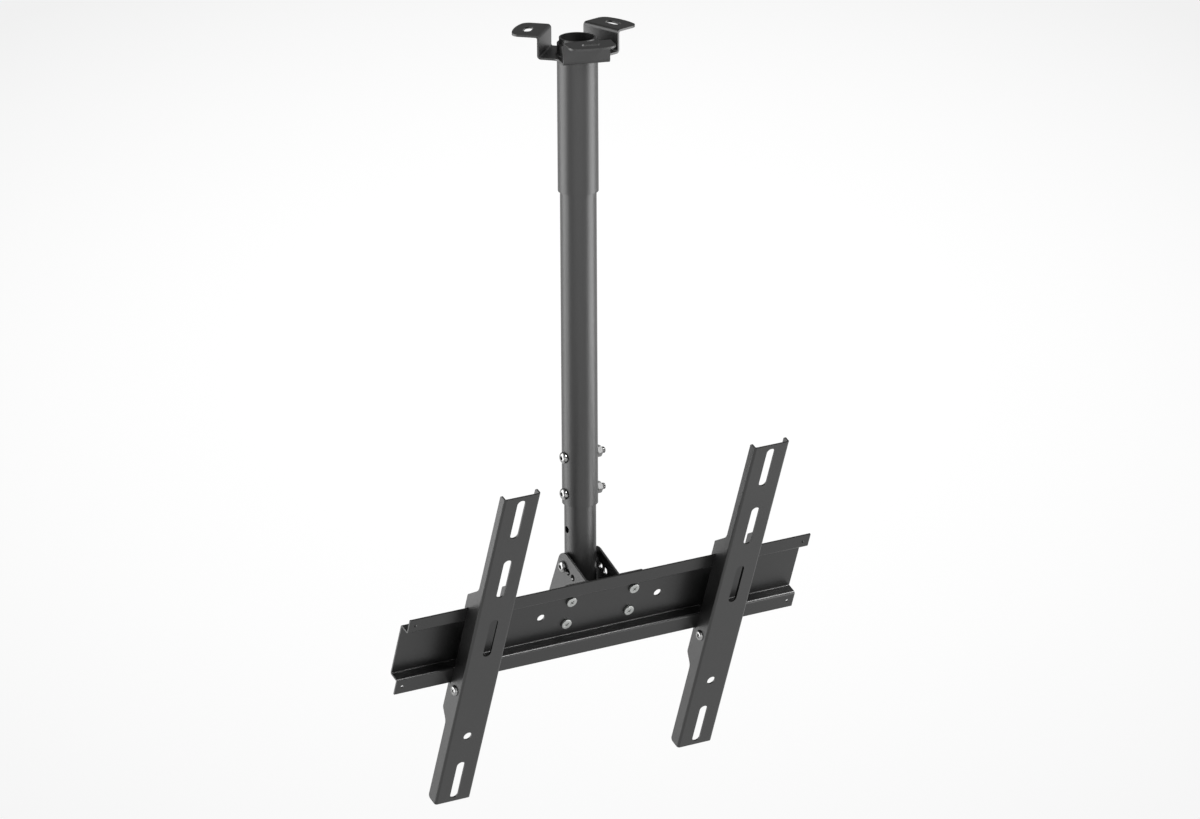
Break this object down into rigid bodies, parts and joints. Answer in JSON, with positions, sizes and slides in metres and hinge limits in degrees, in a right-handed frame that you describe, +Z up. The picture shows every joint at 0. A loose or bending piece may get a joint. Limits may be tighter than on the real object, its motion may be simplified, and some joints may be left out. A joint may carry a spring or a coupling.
{
  "type": "tv ceiling mount",
  "caption": "Telescopic ceiling mount for a flat screen: three-legged ceiling plate, swivelling pole, sliding drop tube, tilting crossbar and two hooked arms with slots.",
  "frame": {"origin": "on the pole's axis, in the ceiling plane that the three tabs bear on", "axes": "+Z up along the pole, X along the crossbar, -Y towards the screen"},
  "size_m": [0.557, 0.2324, 0.924],
  "materials": {
    "powder_coat": "satin black powder coat with a fine grain",
    "bright_zinc": "bright zinc plate",
    "grey_zinc": "dull grey zinc plate",
    "black_nylon": "moulded nylon"
  },
  "bodies": {
    "ceiling": {"ceiling_plate": "powder_coat", "ceiling_sleeve": "powder_coat", "swivel_ring": "black_nylon"},
    "pole": {"main_tube": "powder_coat", "swivel_collar": "powder_coat", "height_bolt_upper": "bright_zinc", "height_bolt_lower": "bright_zinc", "height_nut_upper": "bright_zinc", "height_nut_lower": "bright_zinc"},
    "drop": {"drop_tube": "powder_coat", "pivot_bolt": "bright_zinc", "pivot_washer": "bright_zinc", "pivot_nut": "bright_zinc", "lock_bolt": "bright_zinc", "lock_washer": "bright_zinc", "lock_nut": "bright_zinc", "pivot_spacer_left": "black_nylon", "pivot_spacer_right": "black_nylon", "lock_spacer_left": "black_nylon", "lock_spacer_right": "black_nylon"},
    "head": {"tilt_bracket_left": "powder_coat", "tilt_bracket_right": "powder_coat", "crossbar": "powder_coat", "bracket_screw_left_upper": "grey_zinc", "bracket_screw_left_lower": "grey_zinc", "bracket_screw_right_upper": "grey_zinc", "bracket_screw_right_lower": "grey_zinc", "bracket_nut_left_upper": "bright_zinc", "bracket_nut_left_lower": "bright_zinc", "bracket_nut_right_upper": "bright_zinc", "bracket_nut_right_lower": "bright_zinc"},
    "left_arm": {"arm_left": "powder_coat", "arm_screw_left": "bright_zinc", "arm_nut_left": "bright_zinc"},
    "right_arm": {"arm_right": "powder_coat", "arm_screw_right": "bright_zinc", "arm_nut_right": "bright_zinc"}
  },
  "joints": [
    {"name": "swivel", "type": "hinge", "parent": "ceiling", "child": "pole", "pos_m": [0, 0, 0], "axis": [0, 0, 1], "continuous": true},
    {"name": "height", "type": "slide", "parent": "pole", "child": "drop", "axis": [0, 0, -1], "range_m": [-0.0455, 0.2275]},
    {"name": "tilt", "type": "hinge", "parent": "drop", "child": "head", "pos_m": [0, 0, -0.6543], "axis": [1, 0, 0], "range_deg": [-21.4, 3.6]},
    {"name": "left_arm_slide", "type": "slide", "parent": "head", "child": "left_arm", "axis": [1, 0, 0], "range_m": [-0.077, 0.127]},
    {"name": "right_arm_slide", "type": "slide", "parent": "head", "child": "right_arm", "axis": [1, 0, 0], "range_m": [-0.1152, 0.0888]}
  ]
}
